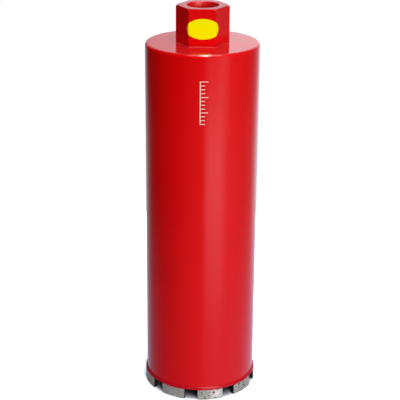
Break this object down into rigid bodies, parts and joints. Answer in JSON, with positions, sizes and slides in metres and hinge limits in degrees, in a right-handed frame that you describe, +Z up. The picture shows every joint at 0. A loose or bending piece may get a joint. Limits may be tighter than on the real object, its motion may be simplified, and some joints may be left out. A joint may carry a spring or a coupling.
{
  "type": "diamond core bit",
  "caption": "Long closed steel tube with a hexagonal threaded hub on its top plate and a slotted crown of diamond segments at its open lower end.",
  "frame": {"origin": "on the bit's axis, at the height of the cutting faces of the segments", "axes": "+Z up the axis from the crown to the hub, -Y out of the hub flat that carries the oval sticker"},
  "size_m": [0.1178, 0.118, 0.407],
  "materials": {
    "barrel": "glossy red enamel",
    "end_plate": "glossy red enamel",
    "hex_hub": "glossy red enamel",
    "crown_ring": "glossy red enamel",
    "segment": "sintered, finely pitted",
    "label": "printed vinyl film"
  },
  "bodies": {
    "root": {"barrel": "barrel", "end_plate": "end_plate", "hex_hub": "hex_hub", "crown_ring": "crown_ring", "label": "label", "segment_1": "segment", "segment_2": "segment", "segment_3": "segment", "segment_4": "segment", "segment_5": "segment", "segment_6": "segment", "segment_7": "segment", "segment_8": "segment", "segment_9": "segment"}
  },
  "joints": []
}
